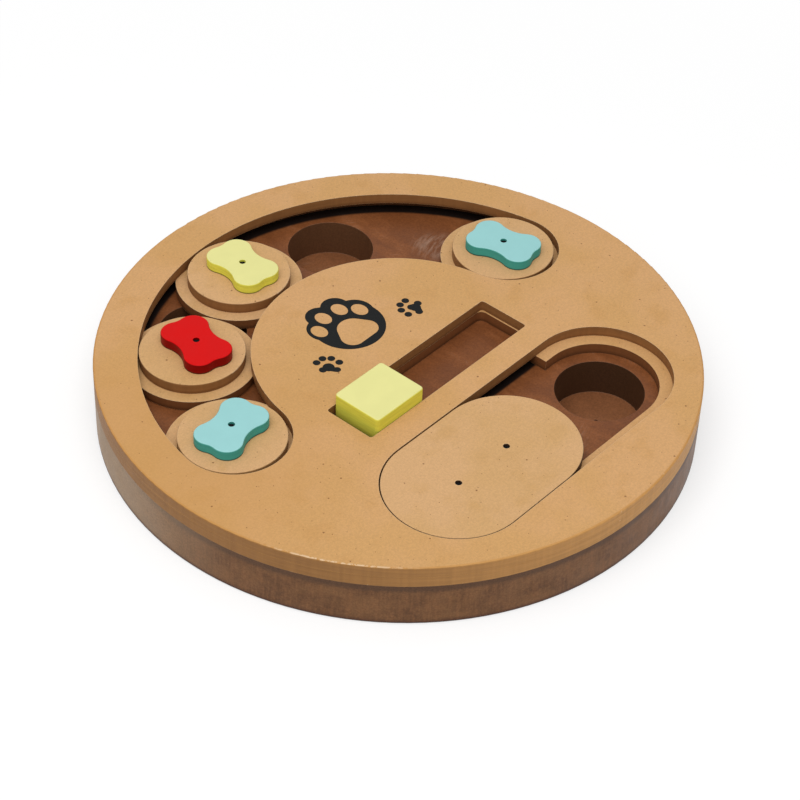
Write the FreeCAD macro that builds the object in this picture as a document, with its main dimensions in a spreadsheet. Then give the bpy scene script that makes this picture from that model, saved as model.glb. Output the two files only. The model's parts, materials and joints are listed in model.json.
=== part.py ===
# Round puzzle feeder board: four flanged discs with bone handles in an arc track,
# a block in a straight slot and a tongued lid in a long slot, over treat wells.
# The board's centre is the origin, +Z is up, and both straight slots run along X.
# All the slots and wells are laid out from one point a little beside that centre.
import FreeCAD, Part
import os
import Sketcher

os.makedirs("parts", exist_ok=True)
doc = FreeCAD.newDocument("puzzle_feeder")

# Driving dimensions, in millimetres and degrees
SIZES = (
    # Board: a thick bored base under two thin panels
    ("board_radius", 150),
    ("base_thickness", 24),
    ("panel_thickness", 5.8),
    ("rim_round", 0.8),
    ("layout_shift", 1.3),
    # Treat wells
    ("well_radius", 22.4),
    ("well_depth", 20),
    ("spur_mark_radius", 1.1),
    ("spur_mark_depth", 0.8),
    # Arc track, symmetric about +Y
    ("track_rim_width", 20.8),
    ("track_half_angle", 81),
    ("track_slot_width", 55.2),
    ("track_undercut", 6.05),
    ("track_well_shift", 1),
    ("inner_well_half_angle", 27.5),
    # Flanged discs
    ("top_disc_play", 1.25),
    ("flange_play", 1.25),
    ("running_gap", 0.25),
    ("disc_round", 0.6),
    ("left_end_turn", 0.4),
    ("left_flange_gap", 0.35),
    ("middle_flange_gap", 0.5),
    ("right_end_turn", 0.67),
    # How far each disc has slid outward in the slot's play
    ("left_blue_slid", 0.8),
    ("red_slid", 0.95),
    ("yellow_slid", 0.55),
    ("right_blue_slid", -0.95),
    # Bone handles, each turned about its pin
    ("bone_length", 37.1),
    ("bone_width", 25.3),
    ("bone_lobe_radius", 7.8),
    ("bone_waist_depth", 2.6),
    ("bone_notch_depth", 0.7),
    ("bone_thickness", 5.6),
    ("bone_round", 0.7),
    ("left_blue_turn", 10.2),
    ("red_turn", 77),
    ("yellow_turn", 83.5),
    ("right_blue_turn", 100.7),
    # Where each handle's pin stands, from its disc's centre
    ("left_blue_pin_x", 0.6),
    ("left_blue_pin_y", 1.2),
    ("red_pin_x", 2.05),
    ("red_pin_y", -0.85),
    ("yellow_pin_x", 2),
    ("yellow_pin_y", -0.65),
    ("right_blue_pin_x", -1.2),
    ("right_blue_pin_y", -0.9),
    # Headed pins
    ("pin_radius", 1.1),
    ("pin_head_radius", 1.55),
    ("pin_head_height", 0.9),
    ("pin_head_depth", 1.1),
    ("pin_head_play", 0.15),
    ("pin_running_play", 0.05),
    ("pin_press_play", 0.01),
    # Straight slot and its block
    ("block_slot_length", 115.6),
    ("block_slot_width", 28.6),
    ("block_slot_y", -18.1),
    ("block_slot_corner", 1.5),
    ("block_pocket_inset", 0.7),
    ("block_pocket_corner", 3.5),
    ("block_length", 33.4),
    ("block_rise", 7.5),
    ("block_play", 0.3),
    ("block_end_gap", 4.1),
    ("block_corner", 2),
    ("block_edge_round", 0.9),
    # Lid slot, its ledge and the lid with a tongue under the far edge
    ("lid_slot_half", 55),
    ("lid_slot_radius", 35.6),
    ("lid_slot_y", -82.4),
    ("lid_ledge", 6.5),
    ("lid_half", 19.6),
    ("lid_play", 0.5),
    ("lid_rest_x", -35.3),
    ("lid_pin_half", 17.4),
    ("tongue_half", 12.6),
    ("tongue_reach", 6),
    ("tongue_play", 0.6),
)

sheet = doc.addObject("Spreadsheet::Sheet", "Size")
for row, (alias, number) in enumerate(SIZES, 1):
    sheet.set(f"A{row}", alias)
    sheet.set(f"B{row}", str(number))
    sheet.setAlias(f"B{row}", alias)
doc.recompute()

# Heights of the stacked layers
PANEL_FLOOR_Z = "Size.base_thickness"
LEDGE_Z = "(Size.base_thickness + Size.panel_thickness)"

# Arc track: its pitch circle's radius is the board's less one rim width and half a slot
TRACK_RADIUS = "(Size.board_radius - Size.track_rim_width - Size.track_slot_width / 2)"
TRACK_WELL_RADIUS = f"({TRACK_RADIUS} + Size.track_well_shift)"

# Flanged discs: the flange runs in the undercut, the top disc in the slot
TOP_DISC_RADIUS = "(Size.track_slot_width / 2 - Size.top_disc_play)"
FLANGE_RADIUS = "(Size.track_slot_width / 2 + Size.track_undercut - Size.flange_play)"
FLANGE_Z = f"({PANEL_FLOOR_Z} + Size.running_gap)"
FLANGE_THICKNESS = "(Size.panel_thickness - 2 * Size.running_gap)"
TOP_DISC_Z = f"({FLANGE_Z} + {FLANGE_THICKNESS})"
BONE_Z = f"({TOP_DISC_Z} + Size.panel_thickness)"
BONE_TOP_Z = f"({BONE_Z} + Size.bone_thickness)"


def next_angle(angle, gap):
    """The angle of the disc whose flange stays a gap clear of the one at this angle."""
    half_pitch = f"asin(({FLANGE_RADIUS} + {gap} / 2) / {TRACK_RADIUS})"
    return f"({angle} - 2 * {half_pitch} / 1 deg)"


# Places of the discs along the track, anticlockwise from +X
LEFT_BLUE_ANGLE = "(90 + Size.track_half_angle - Size.left_end_turn)"
RED_ANGLE = next_angle(LEFT_BLUE_ANGLE, "Size.left_flange_gap")
YELLOW_ANGLE = next_angle(RED_ANGLE, "Size.middle_flange_gap")
RIGHT_BLUE_ANGLE = "(90 - Size.track_half_angle + Size.right_end_turn)"
DISC_ANGLES = {
    "left_blue": LEFT_BLUE_ANGLE,
    "red": RED_ANGLE,
    "yellow": YELLOW_ANGLE,
    "right_blue": RIGHT_BLUE_ANGLE,
}

# Lid: the runner fits between the ledges, its tongue under the top panel
LID_CHANNEL_RADIUS = "(Size.lid_slot_radius - Size.lid_ledge)"
LID_RUNNER_RADIUS = f"({LID_CHANNEL_RADIUS} - Size.lid_play)"
LID_PLATE_RADIUS = "(Size.lid_slot_radius - Size.lid_play)"
LID_TOP_Z = f"({LEDGE_Z} + Size.running_gap / 2 + Size.panel_thickness - Size.running_gap)"
TONGUE_EDGE = "(Size.lid_slot_radius + Size.tongue_reach)"
TONGUE_STOP = "(-Size.lid_rest_x + Size.tongue_half + Size.tongue_play)"


def value(formula):
    """The number that a formula in the sheet's names gives."""
    result = sheet.evalExpression(formula)
    return float(getattr(result, "Value", result))


def new_body(name, x=None, y="0", z="0", turn=None):
    """An empty body whose placement follows the sheet. x is from the layout's own point,
    and a body without it stands at the board's centre."""
    x = f"Size.layout_shift + {x}" if x else "0"
    body = doc.addObject("PartDesign::Body", name)
    body.Label = name
    if turn:
        body.Placement.Rotation = FreeCAD.Rotation(FreeCAD.Vector(0, 0, 1), value(turn))
        body.setExpression("Placement.Rotation.Angle", turn)
    for letter, formula in (("x", x), ("y", y), ("z", z)):
        body.setExpression(f"Placement.Base.{letter}", formula)
    return body


def new_sketch(body, name, height=None, role="XY_Plane", across=None):
    """A sketch on one of the body's own origin planes, lifted by height, moved along X
    by across."""
    sketch = body.newObject("Sketcher::SketchObject", f"{body.Name}_{name}")
    plane = next(item for item in body.Origin.OriginFeatures if item.Role == role)
    sketch.AttachmentSupport = (plane, [""])
    sketch.MapMode = "FlatFace"
    if height:
        sketch.setExpression("AttachmentOffset.Base.z", height)
    if across:
        sketch.setExpression("AttachmentOffset.Base.x", across)
    return sketch


def layout_sketch(body, name, height=None):
    """A sketch about the point that the slots and wells are laid out from."""
    return new_sketch(body, name, height, across="Size.layout_shift")


def bind(sketch, kind, *places, to):
    """A dimension of the sketch that follows a formula."""
    index = sketch.addConstraint(Sketcher.Constraint(kind, *places, value(to)))
    sketch.setExpression(f"Constraints[{index}]", to)


def bind_centre(sketch, curve, x, y):
    """Hold the centre of a circle or arc at x, y."""
    bind(sketch, "DistanceX", -1, 1, curve, 3, to=x)
    bind(sketch, "DistanceY", -1, 1, curve, 3, to=y)


def add_circle(sketch, x, y, radius):
    """One circle with its place and radius bound."""
    centre = FreeCAD.Vector(value(x), value(y), 0)
    circle = sketch.addGeometry(Part.Circle(centre, FreeCAD.Vector(0, 0, 1), value(radius)))
    bind_centre(sketch, circle, x, y)
    bind(sketch, "Radius", circle, to=radius)


def add_arc(sketch, centre, start, end):
    """An anticlockwise arc about centre, from start to end."""
    radius = start.distanceToPoint(centre)
    circle = Part.Circle(centre, FreeCAD.Vector(0, 0, 1), radius)
    first = circle.parameter(start)
    last = circle.parameter(end)
    return sketch.addGeometry(Part.ArcOfCircle(circle, first, last))


def join_tangent(sketch, chain):
    """Join each curve to the next, smoothly. A chain entry is (curve, its first end,
    its last end), in the order of travel."""
    for this, following in zip(chain, chain[1:] + chain[:1]):
        ends = (this[0], this[2], following[0], following[1])
        sketch.addConstraint(Sketcher.Constraint("Tangent", *ends))


def add_rounded_chain(sketch, centres, radius):
    """Corner arcs of one radius about the centres, anticlockwise, joined by straight sides."""
    points = [FreeCAD.Vector(value(x), value(y), 0) for x, y in centres]
    size = value(radius)
    count = len(points)
    outward = []
    for i in range(count):
        side = points[(i + 1) % count] - points[i]
        side.normalize()
        outward.append(FreeCAD.Vector(side.y, -side.x, 0) * size)
    chain = []
    for i in range(count):
        arc = add_arc(sketch, points[i], points[i] + outward[i - 1], points[i] + outward[i])
        bind_centre(sketch, arc, *centres[i])
        bind(sketch, "Radius", arc, to=radius)
        following = points[(i + 1) % count]
        side = Part.LineSegment(points[i] + outward[i], following + outward[i])
        chain.append((arc, 1, 2))
        chain.append((sketch.addGeometry(side), 1, 2))
    join_tangent(sketch, chain)


def add_stadium(sketch, y, half, radius):
    """A long slot along X with round ends about x = -half and x = half."""
    add_rounded_chain(sketch, (("-" + half, y), (half, y)), radius)


def add_rounded_rectangle(sketch, x, y, length, width, corner):
    """A rectangle about x, y with its length along X and rounded corners."""
    reach = f"({length} / 2 - {corner})"
    rise = f"({width} / 2 - {corner})"
    left = f"({x} - {reach})"
    right = f"({x} + {reach})"
    low = f"({y} - {rise})"
    high = f"({y} + {rise})"
    centres = ((left, low), (right, low), (right, high), (left, high))
    add_rounded_chain(sketch, centres, corner)


def add_arc_slot(sketch, half_width):
    """The arc track's outline: two arcs about the sketch's centre with round ends."""
    pitch = value(TRACK_RADIUS)
    half = value(half_width)
    ends = []
    for sign in (1, -1):
        spoke = FreeCAD.Rotation(FreeCAD.Vector(0, 0, 1), sign * value("Size.track_half_angle"))
        ends.append(spoke.multVec(FreeCAD.Vector(0, 1, 0)))
    left, right = ends
    origin = FreeCAD.Vector(0, 0, 0)
    outer = add_arc(sketch, origin, right * (pitch + half), left * (pitch + half))
    left_cap = add_arc(sketch, left * pitch, left * (pitch + half), left * (pitch - half))
    inner = add_arc(sketch, origin, right * (pitch - half), left * (pitch - half))
    right_cap = add_arc(sketch, right * pitch, right * (pitch - half), right * (pitch + half))
    for arc, sign in ((outer, "+"), (inner, "-")):
        sketch.addConstraint(Sketcher.Constraint("Coincident", arc, 3, -1, 1))
        bind(sketch, "Radius", arc, to=f"{TRACK_RADIUS} {sign} {half_width}")
    for cap, sign in ((left_cap, "-"), (right_cap, "")):
        reach = f"{sign}{TRACK_RADIUS} * sin(Size.track_half_angle)"
        bind(sketch, "DistanceX", -1, 1, cap, 3, to=reach)
    join_tangent(sketch, [(outer, 1, 2), (left_cap, 1, 2), (inner, 2, 1), (right_cap, 1, 2)])


def add_bone(sketch):
    """A bone outline in eight tangent arcs: four lobes, two waists, two end notches."""
    lobe = "Size.bone_lobe_radius"
    along = f"(Size.bone_length / 2 - {lobe})"
    across = f"(Size.bone_width / 2 - {lobe})"
    waist_drop = f"({lobe} - Size.bone_waist_depth)"
    waist = f"(({along}^2 + {waist_drop}^2 - {lobe}^2) / (2 * ({lobe} - {waist_drop})))"
    notch_drop = f"({lobe} - Size.bone_notch_depth)"
    notch = f"(({across}^2 + {notch_drop}^2 - {lobe}^2) / (2 * ({lobe} - {notch_drop})))"
    waist_y = value(f"Size.bone_width / 2 - Size.bone_waist_depth + {waist}")
    notch_x = value(f"Size.bone_length / 2 - Size.bone_notch_depth + {notch}")

    def touch(lobe_centre, hollow_centre):
        step = hollow_centre - lobe_centre
        return lobe_centre + step.normalize() * value(lobe)

    chain = []
    for x_sign, y_sign in ((1, 1), (-1, 1), (-1, -1), (1, -1)):
        centre = FreeCAD.Vector(x_sign * value(along), y_sign * value(across), 0)
        at_notch = touch(centre, FreeCAD.Vector(x_sign * notch_x, 0, 0))
        at_waist = touch(centre, FreeCAD.Vector(0, y_sign * waist_y, 0))
        onward = x_sign == y_sign
        start, end = (at_notch, at_waist) if onward else (at_waist, at_notch)
        arc = add_arc(sketch, centre, start, end)
        x_text = along if x_sign > 0 else "-" + along
        y_text = across if y_sign > 0 else "-" + across
        bind_centre(sketch, arc, x_text, y_text)
        bind(sketch, "Radius", arc, to=lobe)
        chain.append((arc, 1, 2))
        mirror = FreeCAD.Vector(-1, 1, 0) if onward else FreeCAD.Vector(1, -1, 0)
        far_end = FreeCAD.Vector(end.x * mirror.x, end.y * mirror.y, 0)
        if onward:
            hollow = add_arc(sketch, FreeCAD.Vector(0, y_sign * waist_y, 0), far_end, end)
        else:
            hollow = add_arc(sketch, FreeCAD.Vector(x_sign * notch_x, 0, 0), far_end, end)
        bind(sketch, "Radius", hollow, to=waist if onward else notch)
        chain.append((hollow, 2, 1))
    join_tangent(sketch, chain)


def pad(body, sketch, length):
    """Raise the sketch by length."""
    feature = body.newObject("PartDesign::Pad", f"{sketch.Name}_pad")
    feature.Profile = sketch
    feature.setExpression("Length", length)
    doc.recompute()
    return feature


def cut(body, sketch, depth=None, upward=False):
    """Cut the sketch down by depth, or through everything, upward from the body's foot."""
    before = body.Shape.Volume
    feature = body.newObject("PartDesign::Pocket", f"{sketch.Name}_cut")
    feature.Profile = sketch
    feature.Reversed = upward
    if depth:
        feature.setExpression("Length", depth)
    else:
        feature.Type = "ThroughAll"
    doc.recompute()
    if body.Shape.Volume >= before:
        raise RuntimeError(f"{feature.Name} removed nothing")
    return feature


def round_edges(body, radius, wanted):
    """Round the edges of the body's last feature that the test picks."""
    base = body.Tip
    names = [f"Edge{i}" for i, edge in enumerate(base.Shape.Edges, 1) if wanted(edge)]
    feature = body.newObject("PartDesign::Fillet", f"{base.Name}_round")
    feature.Base = (base, names)
    feature.setExpression("Radius", radius)
    doc.recompute()
    return feature


def lies_at(edge, height):
    """Whether the whole edge lies in the level plane at this height."""
    return all(abs(vertex.Z - height) < 1e-4 for vertex in edge.Vertexes) and (
        abs(edge.BoundBox.ZLength) < 1e-4
    )


def is_rim(edge):
    """Whether the edge is the board's own outline."""
    return abs(edge.BoundBox.XLength - 2 * value("Size.board_radius")) < 1e-3


def track_place(angle, radius):
    """The formulas of a point on a circle about the layout's own point."""
    return f"{radius} * cos({angle})", f"{radius} * sin({angle})"


def disc_place(name):
    """Where a disc stands in the track."""
    return track_place(DISC_ANGLES[name], f"({TRACK_RADIUS} + Size.{name}_slid)")


def pin_place(name):
    """Where a disc's pin stands in the track."""
    x, y = disc_place(name)
    return f"{x} + Size.{name}_pin_x", f"{y} + Size.{name}_pin_y"


def well_places():
    """Four wells under the arc track and one under each end of the lid slot."""
    places = []
    for half_angle in ("Size.inner_well_half_angle", "Size.track_half_angle"):
        for sign in ("-", "+"):
            places.append(track_place(f"90 {sign} {half_angle}", TRACK_WELL_RADIUS))
    for sign in ("-", ""):
        places.append((sign + "Size.lid_slot_half", "Size.lid_slot_y"))
    return places


def make_base_board():
    """The thick base, with flat-bottomed wells and the bit's spur mark in each."""
    body = new_body("base_board")
    disc = new_sketch(body, "disc")
    add_circle(disc, "0", "0", "Size.board_radius")
    pad(body, disc, "Size.base_thickness")
    wells = layout_sketch(body, "wells", "Size.base_thickness")
    marks = layout_sketch(body, "marks", "Size.base_thickness - Size.well_depth")
    for x, y in well_places():
        add_circle(wells, x, y, "Size.well_radius")
        add_circle(marks, x, y, "Size.spur_mark_radius")
    cut(body, wells, "Size.well_depth")
    cut(body, marks, "Size.spur_mark_depth")
    round_edges(body, "Size.rim_round", lambda edge: is_rim(edge) and lies_at(edge, 0))


def make_track_panel():
    """The hidden panel: wide channels that the flanges and the tongue run in."""
    body = new_body("track_panel", z=PANEL_FLOOR_Z)
    disc = new_sketch(body, "disc")
    add_circle(disc, "0", "0", "Size.board_radius")
    pad(body, disc, "Size.panel_thickness")
    track = layout_sketch(body, "track")
    add_arc_slot(track, "(Size.track_slot_width / 2 + Size.track_undercut)")
    cut(body, track, upward=True)
    pocket = layout_sketch(body, "pocket")
    length = "(Size.block_slot_length - 2 * Size.block_pocket_inset)"
    add_rounded_rectangle(pocket, "0", "Size.block_slot_y", length, "Size.block_slot_width",
                          "Size.block_pocket_corner")
    cut(body, pocket, upward=True)
    channel = layout_sketch(body, "channel")
    add_stadium(channel, "Size.lid_slot_y", "Size.lid_slot_half", LID_CHANNEL_RADIUS)
    cut(body, channel, upward=True)
    undercut = layout_sketch(body, "undercut")
    add_block_outline(undercut, TONGUE_STOP, "Size.lid_slot_y",
                      f"(Size.lid_slot_y + {TONGUE_EDGE} + Size.tongue_play)")
    cut(body, undercut, upward=True)


def add_block_outline(sketch, half, low, high):
    """A sharp rectangle from -half to half and from low to high."""
    corners = (("-" + half, low), (half, low), (half, high), ("-" + half, high))
    points = [FreeCAD.Vector(value(x), value(y), 0) for x, y in corners]
    sides = []
    for i in range(4):
        sides.append(sketch.addGeometry(Part.LineSegment(points[i], points[(i + 1) % 4])))
    for i in range(4):
        sketch.addConstraint(Sketcher.Constraint("Coincident", sides[i], 2, sides[(i + 1) % 4], 1))
        bind(sketch, "DistanceX", -1, 1, sides[i], 1, to=corners[i][0])
        bind(sketch, "DistanceY", -1, 1, sides[i], 1, to=corners[i][1])


def make_top_panel():
    """The panel seen from above, with the three narrower slots."""
    body = new_body("top_panel", z=LEDGE_Z)
    disc = new_sketch(body, "disc")
    add_circle(disc, "0", "0", "Size.board_radius")
    pad(body, disc, "Size.panel_thickness")
    track = layout_sketch(body, "track")
    add_arc_slot(track, "(Size.track_slot_width / 2)")
    cut(body, track, upward=True)
    slot = layout_sketch(body, "slot")
    add_rounded_rectangle(slot, "0", "Size.block_slot_y", "Size.block_slot_length",
                          "Size.block_slot_width", "Size.block_slot_corner")
    cut(body, slot, upward=True)
    lid_slot = layout_sketch(body, "lid_slot")
    add_stadium(lid_slot, "Size.lid_slot_y", "Size.lid_slot_half", "Size.lid_slot_radius")
    cut(body, lid_slot, upward=True)
    top = value("Size.panel_thickness")
    round_edges(body, "Size.rim_round", lambda edge: is_rim(edge) and lies_at(edge, top))


def make_flange_disc(name):
    """The lower disc, wider than the slot, that keeps a piece in the track."""
    x, y = disc_place(name)
    body = new_body(f"{name}_flange_disc", x, y, FLANGE_Z)
    disc = new_sketch(body, "disc")
    add_circle(disc, "0", "0", FLANGE_RADIUS)
    add_pin_hole(disc, name)
    pad(body, disc, FLANGE_THICKNESS)


def add_pin_hole(sketch, name):
    """The hole that holds a disc's pin."""
    radius = "(Size.pin_radius + Size.pin_press_play)"
    add_circle(sketch, f"Size.{name}_pin_x", f"Size.{name}_pin_y", radius)


def make_top_disc(name):
    """The upper disc, level with the board's top and fixed on the flange disc."""
    x, y = disc_place(name)
    body = new_body(f"{name}_top_disc", x, y, TOP_DISC_Z)
    disc = new_sketch(body, "disc")
    add_circle(disc, "0", "0", TOP_DISC_RADIUS)
    add_pin_hole(disc, name)
    pad(body, disc, "Size.panel_thickness")
    top = value("Size.panel_thickness")
    rim = 2 * value(TOP_DISC_RADIUS)
    round_edges(body, "Size.disc_round",
                lambda edge: lies_at(edge, top) and abs(edge.BoundBox.XLength - rim) < 1e-3)


def make_bone_handle(name):
    """The bone-shaped handle that turns on the pin, with a stepped hole for its head."""
    x, y = pin_place(name)
    body = new_body(f"{name}_bone_handle", x, y, BONE_Z, turn=f"Size.{name}_turn")
    outline = new_sketch(body, "outline")
    add_bone(outline)
    pad(body, outline, "Size.bone_thickness")
    top = value("Size.bone_thickness")
    round_edges(body, "Size.bone_round", lambda edge: lies_at(edge, top))
    bore = new_sketch(body, "bore")
    add_circle(bore, "0", "0", "(Size.pin_radius + Size.pin_running_play)")
    cut(body, bore, upward=True)
    seat = new_sketch(body, "seat", "Size.bone_thickness")
    add_circle(seat, "0", "0", "(Size.pin_head_radius + Size.pin_head_play)")
    cut(body, seat, "(Size.pin_head_depth + Size.pin_head_height)")


def make_pin(name, x, y, top, foot):
    """A headed pin: a shank from foot to just under the surface at top."""
    body = new_body(name, x, y, foot)
    profile = new_sketch(body, "profile", role="XZ_Plane")
    head_top = f"({top} - {foot} - Size.pin_head_depth)"
    shoulder = f"({head_top} - Size.pin_head_height)"
    corners = (
        ("0", "0"),
        ("Size.pin_radius", "0"),
        ("Size.pin_radius", shoulder),
        ("Size.pin_head_radius", shoulder),
        ("Size.pin_head_radius", head_top),
        ("0", head_top),
    )
    points = [FreeCAD.Vector(value(across), value(up), 0) for across, up in corners]
    count = len(points)
    for i in range(count):
        profile.addGeometry(Part.LineSegment(points[i], points[(i + 1) % count]))
    for i in range(count):
        profile.addConstraint(Sketcher.Constraint("Coincident", i, 2, (i + 1) % count, 1))
        bind(profile, "DistanceX", -1, 1, i, 1, to=corners[i][0])
        bind(profile, "DistanceY", -1, 1, i, 1, to=corners[i][1])
    turned = body.newObject("PartDesign::Revolution", f"{name}_turned")
    turned.Profile = profile
    turned.ReferenceAxis = (profile, ["V_Axis"])
    turned.Angle = 360
    doc.recompute()


def make_sliding_block():
    """The block that slides in the straight slot and stands proud of it."""
    half = "(Size.block_length / 2)"
    pocket_end = "(Size.block_slot_length / 2 - Size.block_pocket_inset)"
    x = f"({half} - {pocket_end} + Size.block_end_gap)"
    body = new_body("sliding_block", x, "Size.block_slot_y", FLANGE_Z)
    footprint = new_sketch(body, "footprint")
    width = "(Size.block_slot_width - 2 * Size.block_play)"
    add_rounded_rectangle(footprint, "0", "0", "Size.block_length", width, "Size.block_corner")
    height = "(2 * Size.panel_thickness + Size.block_rise - Size.running_gap)"
    pad(body, footprint, height)
    top = value(height)
    round_edges(body, "Size.block_edge_round", lambda edge: lies_at(edge, top))


def make_lid_plate():
    """The lid's upper plate, carried by the ledge and level with the board's top."""
    body = new_body("lid_plate", "Size.lid_rest_x", "Size.lid_slot_y",
                    f"({LEDGE_Z} + Size.running_gap / 2)")
    outline = new_sketch(body, "outline")
    add_stadium(outline, "0", "Size.lid_half", LID_PLATE_RADIUS)
    thickness = "(Size.panel_thickness - Size.running_gap)"
    pad(body, outline, thickness)
    top = value(thickness)
    round_edges(body, "Size.disc_round", lambda edge: lies_at(edge, top))
    bores = new_sketch(body, "bores")
    seats = new_sketch(body, "seats", thickness)
    for sign in ("-", ""):
        x = sign + "Size.lid_pin_half"
        add_circle(bores, x, "0", "(Size.pin_radius + Size.pin_press_play)")
        add_circle(seats, x, "0", "(Size.pin_head_radius + Size.pin_head_play)")
    cut(body, bores, upward=True)
    cut(body, seats, "(Size.pin_head_depth + Size.pin_head_height)")


def make_lid_runner():
    """The lid's lower plate, with the tongue that runs under the slot's far edge."""
    body = new_body("lid_runner", "Size.lid_rest_x", "Size.lid_slot_y", FLANGE_Z)
    outline = new_sketch(body, "outline")
    add_stadium(outline, "0", "Size.lid_half", LID_RUNNER_RADIUS)
    thickness = f"({LEDGE_Z} - Size.running_gap / 2 - {FLANGE_Z})"
    pad(body, outline, thickness)
    tongue = new_sketch(body, "tongue")
    add_block_outline(tongue, "Size.tongue_half", "0", TONGUE_EDGE)
    pad(body, tongue, thickness)
    bores = new_sketch(body, "bores")
    for sign in ("-", ""):
        radius = "(Size.pin_radius + Size.pin_press_play)"
        add_circle(bores, sign + "Size.lid_pin_half", "0", radius)
    cut(body, bores, upward=True)


def make_lid_pins():
    """The two pins that hold the lid's plates together."""
    for side, sign in (("left", "-"), ("right", "+")):
        x = f"(Size.lid_rest_x {sign} Size.lid_pin_half)"
        make_pin(f"lid_pin_{side}", x, "Size.lid_slot_y", LID_TOP_Z, FLANGE_Z)


def check_and_write():
    """Write each sub-part to its own file once the whole document is sound."""
    doc.recompute()
    for item in doc.Objects:
        if "Invalid" in item.State or "Error" in item.State:
            raise RuntimeError(f"{item.Name} did not recompute: {item.State}")
    bodies = [item for item in doc.Objects if item.TypeId == "PartDesign::Body"]
    for body in bodies:
        if body.Shape.isNull() or not body.Shape.isValid() or len(body.Shape.Solids) != 1:
            raise RuntimeError(f"{body.Label} is not one sound solid")
    for body in bodies:
        body.Shape.exportStep(f"parts/{body.Label}.step")
        print(body.Label, round(body.Shape.Volume), "mm3")


make_base_board()
make_track_panel()
make_top_panel()
for disc_name in DISC_ANGLES:
    make_flange_disc(disc_name)
    make_top_disc(disc_name)
    make_bone_handle(disc_name)
    pin_x, pin_y = pin_place(disc_name)
    make_pin(f"{disc_name}_pin", pin_x, pin_y, BONE_TOP_Z, FLANGE_Z)
make_sliding_block()
make_lid_plate()
make_lid_runner()
make_lid_pins()
check_and_write()
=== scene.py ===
import json
import math

import bpy
from mathutils import Matrix, Vector


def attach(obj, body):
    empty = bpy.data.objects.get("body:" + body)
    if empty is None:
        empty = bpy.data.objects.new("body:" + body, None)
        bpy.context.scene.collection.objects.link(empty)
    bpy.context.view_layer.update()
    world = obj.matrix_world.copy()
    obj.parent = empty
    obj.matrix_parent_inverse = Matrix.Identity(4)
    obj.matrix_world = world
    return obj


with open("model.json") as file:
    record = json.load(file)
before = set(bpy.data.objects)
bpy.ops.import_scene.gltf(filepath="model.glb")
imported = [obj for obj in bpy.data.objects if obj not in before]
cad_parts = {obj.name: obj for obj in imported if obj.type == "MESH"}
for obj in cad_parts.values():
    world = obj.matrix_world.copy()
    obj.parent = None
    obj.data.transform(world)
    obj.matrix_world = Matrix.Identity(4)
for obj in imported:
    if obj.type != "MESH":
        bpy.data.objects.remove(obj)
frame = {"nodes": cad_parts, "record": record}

MM = 0.001

bpy.context.view_layer.update()

# Camera, in the board's own frame: place and sight in metres, lens and sensor in millimetres
CAMERA_PLACE = Vector((-0.69316, -0.58340, 0.79798))
CAMERA_HEADING = math.radians(50)
CAMERA_DROP = math.radians(41.2298)
CAMERA_ROLL = math.radians(2.3598)
CAMERA_LENS = 108.18
CAMERA_SENSOR = 36
CAMERA_SIGHT = (0.05, 20)

# Lamps: one wide soft panel on the camera's side and an even white surround
PANEL_PLACE = Vector((-0.58, -0.28, 1.5))
PANEL_SIZE = 1.3
PANEL_WATTS = 16
SURROUND_LIGHT = 0.55
FLOOR_LIGHT = 0.93
FLOOR_SEEN = 1.08
FLOOR_GLOW = 0.55
FLOOR_FADE = (0.24, 0.50)
FLOOR_HALF = 6
FLOOR_DROP = 0.2 * MM

# Places and sizes on the board that the materials need
BOARD_RADIUS = 150 * MM
BASE_TOP = 24 * MM
LEDGE_TOP = 29.8 * MM
BOARD_TOP = 35.6 * MM
TRACK_CENTRE = (1.3 * MM, 0, 0)
TRACK_EDGE = 128.5 * MM
TONGUE_WAY = (-48 * MM, -36 * MM)
RIGHT_DISC = (98.7 * MM, 16.8 * MM, 0)

# Painted shade at the foot of painted pieces, where they stand down in their slots: where it ends,
# how far below that it is full, its strength
BONE_FOOT_SHADE = (36.4 * MM, 0.9 * MM, 0.85)
BLOCK_FOOT_SHADE = (33 * MM, 4 * MM, 0.5)

# Places that look different from the rest: where each is and how far it reaches, in metres
CHIPPED_ARRIS = ((-0.127, -0.076, 0.0355), 0.042)
RUBBED_FLOOR = ((0.088, 0.053, 0.024), 0.015)
DEEPER_VARNISH = ((-0.145, 0.035, 0.0355), 0.120)
# Painted shade on the rim's left and front
RIM_SHADE_PLACE = ((-0.140, 0.030, 0.030), 0.260)
# Painted sheen, a grey reflection, on the base's left flank
SHEEN_SIDE_PLACE = ((-0.115, 0.090, 0.012), 0.135)
DARKER_WELL = ((0.0563, -0.0824, 0.014), 0.060)

# Patterns: waves per metre, depth of the grain, and how far sharp edges are eased
FINE_FIBRE = 1300
COARSE_FIBRE = 700
STAINED_FIBRE = 1100
BOARD_CLOUDS = 22
BOARD_SPOTS = 60
STAIN_CLOUDS = 30
STAIN_BLOTS = 70
STAIN_STREAKS = 520
ARRIS_CHIPS = 190
RAGGED_ARRIS = 420
PAINT_PEEL = 900
PAINT_DRIFT = 90
GRAIN_DEPTH = 0.05 * MM
PAINT_DEPTH = 0.04 * MM
BOARD_EASE = 0.4 * MM
PAINT_EASE = 0.3 * MM

# Dark specks: spacing, largest size, share of the cells that hold one, shift of the pattern
LARGE_SPECKS = (17 * MM, 0.62 * MM, 0.5, 3.1)
SMALL_SPECKS = (7 * MM, 0.34 * MM, 0.4, 7.7)

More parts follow.
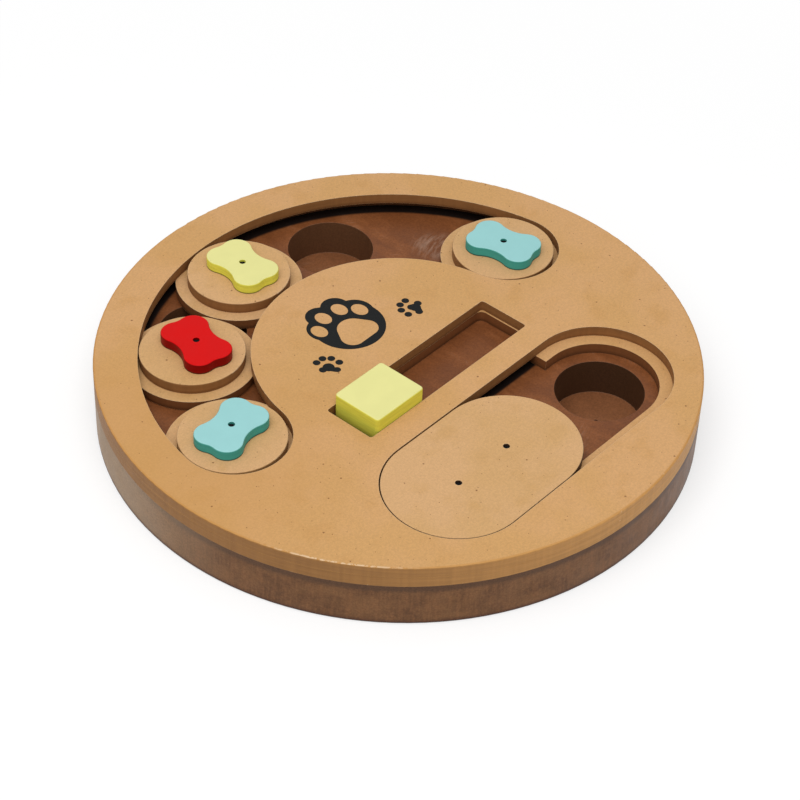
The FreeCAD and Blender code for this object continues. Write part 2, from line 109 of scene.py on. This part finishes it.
# Colours, as shares of the light sent back (red, green, blue)
TAN = ((0.592, 0.332, 0.126), (0.622, 0.350, 0.150), (0.556, 0.300, 0.106))
TAN_DEEP = (0.540, 0.275, 0.080)
TAN_MOVING = ((0.600, 0.354, 0.150), (0.630, 0.374, 0.175), (0.552, 0.316, 0.120))
# Pale arris colour: wear and painted highlight on the edges
ARRIS_WORN_AND_LIT = (0.82, 0.60, 0.36)
RIM_WARM = (0.52, 0.245, 0.058)
CUT_OUTER = (0.580, 0.295, 0.092)
# The outer cut side in painted shade
CUT_OUTER_SHADED = (0.305, 0.142, 0.041)
CUT_UPPER = (0.305, 0.136, 0.045)
CUT_LOWER = (0.23, 0.085, 0.028)
# Painted shade on the lid's cut sides, seen in the gap round it
LID_GAP_SHADE = (0.070, 0.030, 0.012)
# Painted light: a paler cut side that hides the shade in the gap in front of a disc
CUT_LIT_GAP = (0.46, 0.245, 0.090)
# Char of the cut, also the colour of the painted shade at the foot of the cut walls
CHAR_AND_SHADE = (0.05, 0.020, 0.008)
SPECK = (0.17, 0.065, 0.02)
CHIP = (0.76, 0.57, 0.37)
STAIN_TOP = (0.172, 0.056, 0.0175)
STAIN_TOP_PALE = (0.243, 0.083, 0.0265)
# Painted shadow on the floor under the panel's overhang
UNDERCUT_SHADOW = (0.008, 0.005, 0.004)
# Scuffs on the floor, and the paler eased edges of the base: wear and painted highlight
SCUFF_AND_EDGE_HIGHLIGHT = (0.36, 0.22, 0.15)
STAIN_SIDE = (0.176, 0.080, 0.030)
STAIN_SIDE_DARK = (0.112, 0.048, 0.018)
STAIN_SIDE_WARM = (0.225, 0.096, 0.036)
# Painted sheen on the base's left flank
STAIN_SHEEN = (0.340, 0.225, 0.128)
STAIN_JOINT = (0.085, 0.040, 0.019)
# Darker towards the foot of the base's side
SIDE_FOOT_DARK = (0.080, 0.030, 0.014)
# Painted contact shadow along the base's bottom edge
FOOT_CONTACT_SHADOW = (0.014, 0.008, 0.006)
STAIN_WELL = (0.135, 0.059, 0.026)
STAIN_WELL_DARK = (0.067, 0.029, 0.013)
STAIN_WELL_FLOOR = (0.245, 0.100, 0.043)
INK = (0.005, 0.006, 0.006)
INK_WORN = (0.022, 0.022, 0.020)
BLACK_STEEL = (0.006, 0.006, 0.007)
# Painted shade at the foot of the painted pieces
FOOT_SHADE = (0.030, 0.022, 0.010)
# Paints: face colour, then side colour; the side colour is darker and deeper, painted shade on the
# upright sides
PAINTS = {
    "turquoise_paint": ((0.322, 0.622, 0.618), (0.056, 0.335, 0.285)),
    "yellow_paint": ((0.780, 0.750, 0.308), (0.74, 0.71, 0.085)),
    "red_paint": ((0.655, 0.005, 0.005), (0.22, 0.001, 0.001)),
}

# Paw prints on the board's top, in millimetres: lobes are (x, y, radius)
LARGE_PAW = (
    (-2, 32.2, 18.9),
    (-12.5, 38.5, 9.1),
    (-7.3, 46.7, 7.4),
    (3.6, 46.3, 7.5),
    (7.55, 36.5, 10.05),
)
LARGE_PAW_PAD = ((-2.6, 27.9, 8.4), (-7.6, 24.1, 6.1), (2.8, 24.1, 5.9))
LARGE_PAW_TOES = ((-15.8, 39.0), (-6.95, 44.55), (3.8, 43.6), (10.85, 36.25))
LARGE_TOE_REACH = (3.75, 4.8)
LEFT_PAW = ((-36.0, 17.8, 2.0), (-32.7, 17.1, 3.0), (-31.1, 12.9, 1.9))
LEFT_PAW_TOES = ((-34.2, 23.7), (-30.0, 23.7), (-26.9, 20.7), (-26.3, 15.9))
RIGHT_PAW = ((34.8, 18.4, 2.0), (31.5, 17.1, 2.9), (30.3, 18.6, 2.2), (30.3, 13.5, 2.0))
RIGHT_PAW_TOES = ((24.9, 16.0), (24.9, 20.7), (27.7, 24.0), (32.0, 24.3))
SMALL_TOE_REACH = (1.95, 1.95)
INK_LIFT = 0.03


class Shader:
    """Short calls that build one material's nodes."""

    def __init__(self, name):
        self.material = bpy.data.materials.new(name)
        self.material.use_nodes = True
        self.tree = self.material.node_tree
        self.tree.nodes.clear()
        output = self.add("ShaderNodeOutputMaterial")
        self.surface = self.add("ShaderNodeBsdfPrincipled")
        self.tree.links.new(self.surface.outputs["BSDF"], output.inputs["Surface"])

    def add(self, kind, **settings):
        node = self.tree.nodes.new(kind)
        for name, setting in settings.items():
            setattr(node, name, setting)
        return node

    def feed(self, socket, source):
        """Link a socket to another, or set a constant on it."""
        if isinstance(source, bpy.types.NodeSocket):
            self.tree.links.new(source, socket)
        elif isinstance(source, tuple) and socket.type == "RGBA":
            socket.default_value = (*source, 1)
        else:
            socket.default_value = source

    def set(self, name, source):
        """Feed one input of the surface itself."""
        self.feed(self.surface.inputs[name], source)

    def math(self, operation, first, second=0.0):
        node = self.add("ShaderNodeMath", operation=operation)
        self.feed(node.inputs[0], first)
        self.feed(node.inputs[1], second)
        return node.outputs[0]

    def product(self, first, *others):
        for other in others:
            first = self.math("MULTIPLY", first, other)
        return first

    def remap(self, source, low, high, to_low=0.0, to_high=1.0):
        """Ease from one number to another while the source goes from low to high."""
        node = self.add("ShaderNodeMapRange", interpolation_type="SMOOTHSTEP")
        for socket, number in zip(node.inputs, (source, low, high, to_low, to_high)):
            self.feed(socket, number)
        return node.outputs[0]

    def mix(self, factor, first, second, kind="MIX"):
        node = self.add("ShaderNodeMix", data_type="RGBA", blend_type=kind)
        self.feed(node.inputs["Factor"], factor)
        self.feed(node.inputs[6], first)
        self.feed(node.inputs[7], second)
        return node.outputs[2]

    def average(self, first, second, share=0.5):
        """A share of the first and the rest of the second."""
        return self.math("ADD", self.product(first, share), self.product(second, 1 - share))

    def place(self, stretch=(1, 1, 1), shift=(0, 0, 0)):
        """The point on the piece, in metres, stretched along each axis."""
        node = self.add("ShaderNodeMapping")
        self.feed(node.inputs["Vector"], self.add("ShaderNodeTexCoord").outputs["Object"])
        node.inputs["Scale"].default_value = stretch
        node.inputs["Location"].default_value = shift
        return node.outputs[0]

    def split(self, vector):
        node = self.add("ShaderNodeSeparateXYZ")
        self.feed(node.inputs[0], vector)
        return node.outputs

    def noise(self, scale, detail=2, roughness=0.5, place=None):
        node = self.add("ShaderNodeTexNoise")
        self.feed(node.inputs["Vector"], place or self.place())
        node.inputs["Scale"].default_value = scale
        node.inputs["Detail"].default_value = detail
        node.inputs["Roughness"].default_value = roughness
        return node.outputs["Fac"]

    def bump(self, height, distance, strength, normal=None):
        node = self.add("ShaderNodeBump")
        self.feed(node.inputs["Height"], height)
        node.inputs["Distance"].default_value = distance
        node.inputs["Strength"].default_value = strength
        if normal:
            self.feed(node.inputs["Normal"], normal)
        return node.outputs[0]

    def level_share(self):
        """1 on level faces, 0 on upright ones, with the eased edges in between."""
        normal = self.add("ShaderNodeNewGeometry").outputs["Normal"]
        return self.remap(self.math("ABSOLUTE", self.split(normal)[2]), 0.35, 0.85)

    def eased(self, radius):
        """The normal with sharp edges rounded."""
        bevel = self.add("ShaderNodeBevel", samples=4)
        bevel.inputs["Radius"].default_value = radius
        return bevel.outputs[0]

    def lean(self, normal):
        """How far a rounded normal leans from the face's own, so 0 away from the edges."""
        dot = self.add("ShaderNodeVectorMath", operation="DOT_PRODUCT")
        self.feed(dot.inputs[0], normal)
        self.feed(dot.inputs[1], self.add("ShaderNodeNewGeometry").outputs["True Normal"])
        return self.math("SUBTRACT", 1.0, dot.outputs["Value"])

    def height(self):
        return self.split(self.place())[2]

    def from_axis(self, centre=(0, 0, 0)):
        """Distance from an upright line, which is the board's own unless another is given."""
        x, y, _ = self.split(self.place(shift=tuple(-number for number in centre)))
        return self.math("SQRT", self.math("ADD", self.product(x, x), self.product(y, y)))

    def rings(self, radial, turning, centre=(0, 0, 0)):
        """A place for streaks that run round an upright line: radius and turn, stretched."""
        x, y, _ = self.split(self.place(shift=tuple(-number for number in centre)))
        node = self.add("ShaderNodeCombineXYZ")
        self.feed(node.inputs[0], self.product(self.from_axis(centre), radial))
        self.feed(node.inputs[1], self.product(self.math("ARCTAN2", y, x), turning))
        return node.outputs[0]

    def near(self, place, reach):
        """1 at one place on the board, falling to 0 at its reach."""
        node = self.add("ShaderNodeVectorMath", operation="DISTANCE")
        self.feed(node.inputs[0], self.place())
        node.inputs[1].default_value = place
        return self.remap(node.outputs["Value"], 0.3 * reach, reach, 1, 0)

    def outside(self):
        """1 on the board's outer rim, 0 inside it."""
        return self.remap(self.from_axis(), BOARD_RADIUS - 1.2 * MM, BOARD_RADIUS - 0.4 * MM)

    def cut_tone(self):
        """Layers and fine upright tool strokes of a cut side, from 0 to 1."""
        layers = self.noise(1, 3, 0.6, self.place((25, 25, 900)))
        strokes = self.noise(1, 2, 0.5, self.place((420, 420, 30)))
        return self.remap(self.average(layers, strokes, 0.6), 0.3, 0.7)

    def chips(self, lean):
        """Small ragged chips along sharp edges."""
        spots = self.remap(self.noise(ARRIS_CHIPS, 3, 0.7), 0.66, 0.70)
        return self.product(spots, self.remap(lean, 0.004, 0.03, 0, 0.9))

    def outer_arris(self):
        """1 on the last millimetre of the top face, next to the board's outer edge."""
        last = self.remap(self.from_axis(), BOARD_RADIUS - 1.3 * MM, BOARD_RADIUS - 0.6 * MM)
        return self.product(last, self.level_share())

    def specks(self, spacing, size, share, shift):
        """Small dark fibre bundles: one dot in some of the cells, seen from above."""
        cells = self.add("ShaderNodeTexVoronoi", voronoi_dimensions="2D", feature="F1")
        self.feed(cells.inputs["Vector"], self.place(shift=(shift, shift, 0)))
        cells.inputs["Scale"].default_value = 1 / spacing
        chance = self.split(cells.outputs["Color"])
        kept = self.math("LESS_THAN", chance[0], share)
        reach = self.remap(chance[1], 0, 1, 0.4 * size / spacing, size / spacing)
        inside = self.math("DIVIDE", cells.outputs["Distance"], reach)
        ragged = self.math("ADD", inside, self.product(self.noise(2 * FINE_FIBRE, 1), 0.7))
        return self.product(self.remap(ragged, 0.9, 1.35, 1, 0), kept)


def board_face(s, fibre, tones, varnish):
    """The varnished face: soft clouds, fine grain and a few dark specks."""
    warm, pale, spotted = tones
    spots = s.noise(BOARD_SPOTS, 4, 0.6, s.place(shift=(0.3, 0.1, 0)))
    grain = s.average(fibre, s.noise(COARSE_FIBRE, 3, 0.65), 0.6)
    face = s.mix(s.remap(s.noise(BOARD_CLOUDS, 3), 0.38, 0.62), warm, pale)
    face = s.mix(s.remap(spots, 0.50, 0.72, 0, 0.6), face, spotted)
    face = s.mix(1.0, face, s.remap(grain, 0.36, 0.64, 0.91, 1.07), "MULTIPLY")
    face = s.mix(s.product(s.near(*DEEPER_VARNISH), varnish), face, TAN_DEEP)
    dots = s.math("MAXIMUM", s.specks(*LARGE_SPECKS), s.specks(*SMALL_SPECKS))
    return s.mix(s.product(dots, 0.8), face, SPECK)


def board_side(s, cut):
    """The cut side: painted shade at the foot of each layer's wall above each joint, and paler on
    the board's rim, with painted shade on the rim's left and front.
    """
    height = s.height()
    upper = s.remap(height, LEDGE_TOP - 0.3 * MM, LEDGE_TOP + 0.3 * MM)
    # Painted contact shade at the foot of each layer's wall, above the joint
    lower_foot_shade = s.remap(height, BASE_TOP, BASE_TOP + 3 * MM, 0.6, 0)
    upper_foot_shade = s.remap(height, LEDGE_TOP + 0.3 * MM, LEDGE_TOP + 2.2 * MM, 0.35, 0)
    wall_foot_shade = s.math("MAXIMUM", lower_foot_shade, s.product(upper, upper_foot_shade))
    side = s.mix(wall_foot_shade, s.mix(upper, CUT_LOWER, cut), CHAR_AND_SHADE)
    # Painted shade on the rim towards the left and front
    rim = s.mix(s.near(*RIM_SHADE_PLACE), CUT_OUTER, CUT_OUTER_SHADED)
    side = s.mix(s.outside(), side, rim)
    return s.mix(s.product(s.cut_tone(), 0.25), side, CHAR_AND_SHADE)


def worn_and_highlit_edges(s, colour, fibre, lean, wear_and_highlight):
    """Pale arrises, partly wear and partly painted highlight, a warmer one round the board's top,
    and small chips.
    """
    # Paler eased edges: wear and painted highlight
    rubbed = s.product(s.remap(lean, 0.004, 0.06, 0, wear_and_highlight), s.remap(fibre, 0.3, 0.6, 0.6, 1))
    colour = s.mix(rubbed, colour, s.mix(s.outside(), ARRIS_WORN_AND_LIT, RIM_WARM))
    arris = s.outer_arris()
    colour = s.mix(s.product(arris, 0.6), colour, RIM_WARM)
    torn = s.remap(s.noise(RAGGED_ARRIS, 3, 0.7), 0.42, 0.52)
    colour = s.mix(s.product(arris, s.near(*CHIPPED_ARRIS), torn, 0.75), colour, CHIP)
    return s.mix(s.chips(lean), colour, CHIP)


def fibreboard(name, tones, cut=CUT_UPPER, varnish=0.0, wear_and_highlight=0.9):
    """Pale fibreboard under satin varnish."""
    s = Shader(name)
    normal = s.eased(BOARD_EASE)
    fibre = s.noise(FINE_FIBRE, 3, 0.65)
    colour = s.mix(s.level_share(), board_side(s, cut), board_face(s, fibre, tones, varnish))
    s.set("Base Color", worn_and_highlit_edges(s, colour, fibre, s.lean(normal), wear_and_highlight))
    s.set("Roughness", s.remap(fibre, 0.3, 0.7, 0.46, 0.62))
    s.set("Specular IOR Level", 0.2)
    s.set("Normal", s.bump(fibre, GRAIN_DEPTH, 0.5, normal))
    return s.material


def undercut_shadow_mask(s):
    """1 where the floor takes painted shadow under the panel's overhanging edges: round the track,
    and on the lid tongue's way.
    """
    across = s.split(s.place())[1]
    tongue = s.product(s.remap(across, TONGUE_WAY[0], TONGUE_WAY[0] + 1.5 * MM),
                       s.remap(across, TONGUE_WAY[1] - 1 * MM, TONGUE_WAY[1], 1, 0))
    track = s.remap(s.from_axis(TRACK_CENTRE), TRACK_EDGE - 1 * MM, TRACK_EDGE + 1 * MM)
    return s.math("MAXIMUM", tongue, track)


def stained_floor(s, clouds):
    """The base's level faces: reddish, scuffed by the discs, with painted shadow under the panel's
    overhang, and greyer down in the wells.
    """
    floor = s.mix(s.remap(clouds, 0.42, 0.66), STAIN_TOP, STAIN_TOP_PALE)
    scratches = s.remap(s.noise(1, 3, 0.6, s.rings(900, 4)), 0.45, 0.65)
    scuffed = s.product(s.remap(clouds, 0.54, 0.70), scratches, 0.4)
    arcs = s.remap(s.noise(1, 3, 0.6, s.rings(500, 3, RIGHT_DISC)), 0.40, 0.66)
    rubbed = s.product(s.near(*RUBBED_FLOOR), arcs, 0.65)
    floor = s.mix(s.math("MAXIMUM", scuffed, rubbed), floor, SCUFF_AND_EDGE_HIGHLIGHT)
    # Painted shadow under the overhanging panel edges
    floor = s.mix(undercut_shadow_mask(s), floor, UNDERCUT_SHADOW)
    deep = s.remap(s.height(), BASE_TOP - 3 * MM, BASE_TOP - 1 * MM, 0.6, 0)
    return s.mix(deep, floor, STAIN_WELL_FLOOR)


def stained_side(s):
    """The base's upright faces: a streaked brown rim, dark at its top, darker towards its foot
    with a painted contact shadow along the bottom, a painted sheen on its left, and dark wells.
    """
    height = s.height()
    patches = s.noise(1, 3, 0.5, s.place((60, 60, 160)))
    blots = s.average(s.noise(STAIN_BLOTS, 4, 0.6), patches)
    side = s.mix(s.remap(blots, 0.36, 0.62), STAIN_SIDE_DARK, STAIN_SIDE)
    upright = s.noise(1, 2, 0.5, s.place((700, 700, 60)))
    streaks = s.average(s.noise(STAIN_STREAKS, 3, 0.65), upright)
    side = s.mix(s.remap(streaks, 0.40, 0.64, 0, 0.55), side, STAIN_SIDE_WARM)
    joint = s.remap(height, BASE_TOP - 5 * MM, BASE_TOP - 2 * MM, 0, 0.85)
    side = s.mix(joint, side, STAIN_JOINT)
    # Painted sheen: greyer and paler on the left flank, standing in for a reflection
    side = s.mix(s.product(s.near(*SHEEN_SIDE_PLACE), 0.8), side, STAIN_SHEEN)
    # Darker towards the foot
    side = s.mix(s.remap(height, 0.6 * MM, 3.2 * MM, 0.9, 0), side, SIDE_FOOT_DARK)
    # Painted contact shadow: a near-black line along the bottom edge
    side = s.mix(s.remap(height, 0.4 * MM, 1.2 * MM, 0.9, 0), side, FOOT_CONTACT_SHADOW)
    well = s.mix(s.near(*DARKER_WELL), STAIN_WELL, STAIN_WELL_DARK)
    return s.mix(s.outside(), well, side)


def stained_board():
    """The dark stained base."""
    s = Shader("stained_board")
    normal = s.eased(BOARD_EASE)
    fibre = s.noise(STAINED_FIBRE, 3, 0.65)
    drawn = s.noise(1, 3, 0.55, s.place((160, 40, 100)))
    clouds = s.average(s.noise(STAIN_CLOUDS, 4, 0.6), drawn, 0.6)
    colour = s.mix(s.level_share(), stained_side(s), stained_floor(s, clouds))
    colour = s.mix(1.0, colour, s.remap(fibre, 0.3, 0.7, 0.84, 1.14), "MULTIPLY")
    # Paler eased edges: wear and painted highlight
    colour = s.mix(s.remap(s.lean(normal), 0.02, 0.15, 0, 0.35), colour, SCUFF_AND_EDGE_HIGHLIGHT)
    s.set("Base Color", colour)
    s.set("Roughness", s.remap(clouds, 0.3, 0.7, 0.36, 0.52))
    s.set("Specular IOR Level", 0.18)
    s.set("Normal", s.bump(fibre, GRAIN_DEPTH, 0.5, normal))
    return s.material


def paint(name, face, side, foot_top, foot_fade, foot_shade_strength):
    """Satin paint on wood: clean faces, sides in a darker, deeper colour that is painted shade,
    and painted shade at the foot.
    """
    s = Shader(name)
    peel = s.noise(PAINT_PEEL, 2, 0.5)
    drift = s.noise(PAINT_DRIFT, 3, 0.55)
    top = s.mix(1.0, face, s.remap(drift, 0.3, 0.7, 0.98, 1.015), "MULTIPLY")
    layers = s.noise(1, 3, 0.6, s.place((60, 60, 700)))
    # The upright sides take the darker side colour: painted shade
    shaded_walls = s.mix(1.0, side, s.remap(layers, 0.3, 0.7, 0.92, 1.06), "MULTIPLY")
    # Painted shade at the foot, where the piece stands down in its slot
    foot = s.remap(s.height(), foot_top - foot_fade, foot_top, foot_shade_strength, 0)
    s.set("Base Color", s.mix(s.level_share(), s.mix(foot, shaded_walls, FOOT_SHADE), top))
    s.set("Roughness", s.remap(drift, 0.3, 0.7, 0.40, 0.52))
    s.set("Specular IOR Level", 0.08)
    grain = s.average(peel, layers, 0.6)
    s.set("Normal", s.bump(grain, PAINT_DEPTH, 0.45, s.eased(PAINT_EASE)))
    return s.material


def black_steel():
    """The sunk pin heads: blackened, slightly rough."""
    s = Shader("black_steel")
    s.set("Base Color", s.mix(s.noise(1500, 2), BLACK_STEEL, INK))
    s.set("Roughness", s.remap(s.noise(800, 2), 0.3, 0.7, 0.5, 0.7))
    s.set("Specular IOR Level", 0.1)
    return s.material


def printed_ink():
    """Black screen-printed ink with a little of the board's grain showing."""
    s = Shader("printed_ink")
    fibre = s.noise(FINE_FIBRE, 3, 0.65)
    s.set("Base Color", s.mix(s.remap(fibre, 0.45, 0.8, 0, 0.5), INK, INK_WORN))
    s.set("Roughness", s.remap(fibre, 0.3, 0.7, 0.5, 0.65))
    s.set("Specular IOR Level", 0.12)
    s.set("Normal", s.bump(fibre, PAINT_DEPTH, 0.4))
    return s.material


def rays_round(steps):
    """Directions all the way round, one for each step."""
    turns = [math.tau * step / steps for step in range(steps)]
    return [Vector((math.cos(turn), math.sin(turn))) for turn in turns]


def outline_of(lobes, steps=180):
    """The outline round several overlapping circles, seen from the first one's centre."""
    middle = Vector(lobes[0][:2])
    points = []
    for ray in rays_round(steps):
        reach = 0
        for x, y, radius in lobes:
            offset = Vector((x, y)) - middle
            along = offset.dot(ray)
            square = radius ** 2 - (offset.length_squared - along ** 2)
            if square > 0:
                reach = max(reach, along + math.sqrt(square))
        points.append(middle + ray * reach)
    return points


def band_round(lobes, steps=180):
    """The outline of a band stretched round several circles."""
    points = []
    for ray in rays_round(steps):
        x, y, radius = max(lobes, key=lambda lobe: Vector(lobe[:2]).dot(ray) + lobe[2])
        points.append(Vector((x, y)) + ray * radius)
    return points


def oval(centre, reach, steps=48):
    x, y = centre
    across, along = reach
    return [Vector((x + across * ray.x, y + along * ray.y)) for ray in rays_round(steps)]


def print_shape(name, loops, ink):
    """A flat film of ink on the board's top: loops inside others are left open."""
    curve = bpy.data.curves.new(name, "CURVE")
    curve.dimensions = "2D"
    curve.fill_mode = "BOTH"
    for loop in loops:
        spline = curve.splines.new("POLY")
        spline.points.add(len(loop) - 1)
        for point, spot in zip(spline.points, loop):
            point.co = (spot.x * MM, spot.y * MM, 0, 1)
        spline.use_cyclic_u = True
    shape = bpy.data.objects.new(name, curve)
    bpy.context.scene.collection.objects.link(shape)
    bpy.context.view_layer.update()
    mesh = bpy.data.meshes.new_from_object(shape)
    bpy.data.objects.remove(shape)
    mesh.transform(Matrix.Translation((0, 0, BOARD_TOP + INK_LIFT * MM)))
    mesh.materials.clear()
    mesh.materials.append(ink)
    film = bpy.data.objects.new(name, mesh)
    bpy.context.scene.collection.objects.link(film)
    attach(film, "root")


def print_paws():
    """The large paw with its open pad and toes, and the two small ones."""
    ink = printed_ink()
    toes = [oval(centre, LARGE_TOE_REACH) for centre in LARGE_PAW_TOES]
    print_shape("paw_print_large", [outline_of(LARGE_PAW), band_round(LARGE_PAW_PAD)] + toes, ink)
    for name, pad, toe_centres in (("paw_print_left", LEFT_PAW, LEFT_PAW_TOES),
                                   ("paw_print_right", RIGHT_PAW, RIGHT_PAW_TOES)):
        toes = [oval(centre, SMALL_TOE_REACH) for centre in toe_centres]
        print_shape(name, [outline_of(pad)] + toes, ink)


def dress_nodes():
    """Give every carried-over node the finished material of its slot."""
    looks = {name: paint(name, *colours, *BONE_FOOT_SHADE) for name, colours in PAINTS.items()}
    looks["dark_mdf"] = stained_board()
    looks["dark_steel"] = black_steel()
    looks["light_mdf"] = fibreboard("fibreboard_discs", TAN_MOVING)
    own_looks = {
        "track_panel": fibreboard("fibreboard_lower", TAN, varnish=0.5, wear_and_highlight=0.25),
        "top_panel": fibreboard("fibreboard_upper", TAN, varnish=0.5),
        # The lid's cut sides are darkened: painted shade in the gap round the lid
        "lid_plate": fibreboard("fibreboard_lid", TAN_MOVING, LID_GAP_SHADE),
        # A paler cut side on this disc: painted light in the gap in front of it
        "left_blue_top_disc": fibreboard("fibreboard_pale_cut", TAN_MOVING, CUT_LIT_GAP),
        "sliding_block": paint("yellow_paint_block", *PAINTS["yellow_paint"], *BLOCK_FOOT_SHADE),
    }
    for subpart in frame["record"]["subparts"]:
        node = subpart["node"]
        mesh = frame["nodes"][node].data
        mesh.materials.clear()
        mesh.materials.append(own_looks.get(node, looks[subpart["material_slot"]]))


def set_camera():
    """The photo's camera: it looks ahead and down, and is rolled a little."""
    camera = bpy.data.objects.new("camera", bpy.data.cameras.new("camera"))
    bpy.context.scene.collection.objects.link(camera)
    heading = Vector((math.sin(CAMERA_HEADING), math.cos(CAMERA_HEADING), 0))
    ahead = heading * math.cos(CAMERA_DROP) - Vector((0, 0, math.sin(CAMERA_DROP)))
    level = Vector((math.cos(CAMERA_HEADING), -math.sin(CAMERA_HEADING), 0))
    above = level.cross(ahead)
    right = level * math.cos(CAMERA_ROLL) + above * math.sin(CAMERA_ROLL)
    up = above * math.cos(CAMERA_ROLL) - level * math.sin(CAMERA_ROLL)
    turn = Matrix((right, up, -ahead)).transposed().to_4x4()
    camera.matrix_world = Matrix.Translation(CAMERA_PLACE) @ turn
    camera.data.lens = CAMERA_LENS
    camera.data.sensor_width = CAMERA_SENSOR
    camera.data.clip_start, camera.data.clip_end = CAMERA_SIGHT
    bpy.context.scene.camera = camera


def seen_directly(tree):
    """1 for rays from the camera and through gloss or glass, 0 for light that falls on things."""
    path = tree.nodes.new("ShaderNodeLightPath")
    total = path.outputs["Is Camera Ray"]
    for name in ("Is Glossy Ray", "Is Transmission Ray"):
        either = tree.nodes.new("ShaderNodeMath")
        either.operation = "MAXIMUM"
        tree.links.new(total, either.inputs[0])
        tree.links.new(path.outputs[name], either.inputs[1])
        total = either.outputs[0]
    return total


def set_surround():
    """An even white surround that shows white and lights gently."""
    world = bpy.data.worlds.new("surround")
    bpy.context.scene.world = world
    world.use_nodes = True
    tree = world.node_tree
    background = tree.nodes["Background"]
    background.inputs["Color"].default_value = (1, 1, 1, 1)
    strength = tree.nodes.new("ShaderNodeMapRange")
    tree.links.new(seen_directly(tree), strength.inputs["Value"])
    strength.inputs["To Min"].default_value = SURROUND_LIGHT
    strength.inputs["To Max"].default_value = 1
    tree.links.new(strength.outputs[0], background.inputs["Strength"])


def set_panel():
    """The soft panel lamp, turned to the board."""
    light = bpy.data.lights.new("soft_panel", "AREA")
    light.shape = "SQUARE"
    light.size = PANEL_SIZE
    light.energy = PANEL_WATTS
    panel = bpy.data.objects.new("soft_panel", light)
    bpy.context.scene.collection.objects.link(panel)
    panel.location = PANEL_PLACE
    panel.rotation_mode = "QUATERNION"
    panel.rotation_quaternion = (-PANEL_PLACE).to_track_quat("-Z", "Y")


def far_share(tree):
    """Share of plain white in the floor's look: FLOOR_GLOW near the board, 1 far from it."""
    away = tree.nodes.new("ShaderNodeVectorMath")
    away.operation = "LENGTH"
    tree.links.new(tree.nodes.new("ShaderNodeNewGeometry").outputs["Position"], away.inputs[0])
    share = tree.nodes.new("ShaderNodeMapRange")
    tree.links.new(away.outputs["Value"], share.inputs["Value"])
    for name, number in zip(("From Min", "From Max", "To Min", "To Max"),
                            (*FLOOR_FADE, FLOOR_GLOW, 1)):
        share.inputs[name].default_value = number
    return share.outputs[0]


def white_floor():
    """Matt white that takes the board's shadow, and shows plain white further away."""
    material = bpy.data.materials.new("floor_white")
    material.use_nodes = True
    tree = material.node_tree
    tree.nodes.clear()
    seen = seen_directly(tree)
    white = tree.nodes.new("ShaderNodeMapRange")
    tree.links.new(seen, white.inputs["Value"])
    white.inputs["To Min"].default_value = FLOOR_LIGHT
    white.inputs["To Max"].default_value = FLOOR_SEEN
    surface = tree.nodes.new("ShaderNodeBsdfDiffuse")
    tree.links.new(white.outputs[0], surface.inputs["Color"])
    share = tree.nodes.new("ShaderNodeMath")
    share.operation = "MULTIPLY"
    tree.links.new(seen, share.inputs[0])
    tree.links.new(far_share(tree), share.inputs[1])
    blend = tree.nodes.new("ShaderNodeMixShader")
    tree.links.new(share.outputs[0], blend.inputs["Fac"])
    tree.links.new(surface.outputs[0], blend.inputs[1])
    tree.links.new(tree.nodes.new("ShaderNodeEmission").outputs[0], blend.inputs[2])
    output = tree.nodes.new("ShaderNodeOutputMaterial")
    tree.links.new(blend.outputs[0], output.inputs["Surface"])
    return material


def lay_floor():
    """A wide level sheet just under the board."""
    mesh = bpy.data.meshes.new("floor")
    signs = ((-1, -1), (1, -1), (1, 1), (-1, 1))
    corners = [(x * FLOOR_HALF, y * FLOOR_HALF, 0) for x, y in signs]
    mesh.from_pydata(corners, [], [(0, 1, 2, 3)])
    mesh.materials.append(white_floor())
    floor = bpy.data.objects.new("floor", mesh)
    bpy.context.scene.collection.objects.link(floor)
    floor.location.z = -FLOOR_DROP


bpy.context.scene.view_settings.view_transform = "Standard"
set_camera()
set_surround()
set_panel()
lay_floor()
dress_nodes()
print_paws()

bpy.context.view_layer.update()
